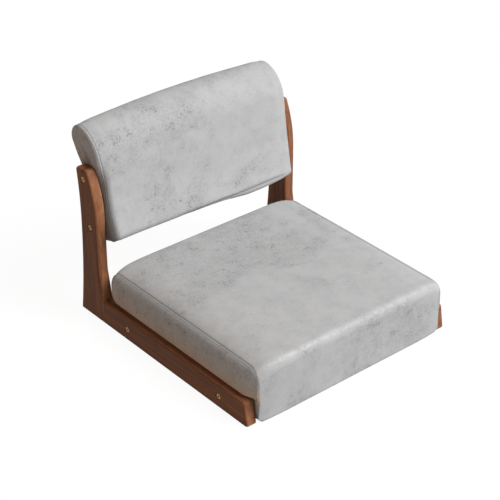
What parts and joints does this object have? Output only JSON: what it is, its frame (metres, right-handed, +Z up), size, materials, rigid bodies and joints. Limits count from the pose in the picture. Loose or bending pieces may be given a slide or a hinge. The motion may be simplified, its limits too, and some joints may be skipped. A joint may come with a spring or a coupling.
{
  "type": "legless floor chair",
  "caption": "Legless floor chair: dark wooden side frames with floor rails and uprights carry a crowned upholstered seat and a leaning, rolled-top backrest, both bolted through.",
  "frame": {"origin": "on the floor, under the middle of the chair's outer box", "axes": "+X to the right seen from the front, -Y the way the sitter faces, +Z up"},
  "size_m": [0.5, 0.5636, 0.3985],
  "materials": {
    "walnut": "satin stain",
    "dowel_wood": "bare",
    "batten_wood": "bare",
    "plywood": "bare",
    "foam": "open foam",
    "upholstery": "matt brushed",
    "dust_cloth": "matt",
    "bolt_brass": "antique",
    "steel": "plain"
  },
  "bodies": {
    "root": {"left_rail": "walnut", "left_upright": "walnut", "right_rail": "walnut", "right_upright": "walnut", "left_rail_dowels": "dowel_wood", "right_rail_dowels": "dowel_wood", "seat_front_batten": "batten_wood", "seat_rear_batten": "batten_wood", "seat_left_batten": "batten_wood", "seat_right_batten": "batten_wood", "back_left_batten": "batten_wood", "back_right_batten": "batten_wood", "seat_deck": "plywood", "back_panel": "plywood", "seat_foam": "foam", "back_front_foam": "foam", "back_rear_foam": "foam", "seat_cover_wrap": "upholstery", "seat_cover_left_side": "upholstery", "seat_cover_right_side": "upholstery", "back_cover_wrap": "upholstery", "back_cover_left_end": "upholstery", "back_cover_right_end": "upholstery", "seat_dust_cover": "dust_cloth", "seat_bolts": "bolt_brass", "back_bolts": "bolt_brass", "seat_inserts": "bolt_brass", "back_inserts": "bolt_brass", "seat_deck_screws": "steel", "back_panel_screws": "steel", "seat_staples": "steel"}
  },
  "joints": []
}
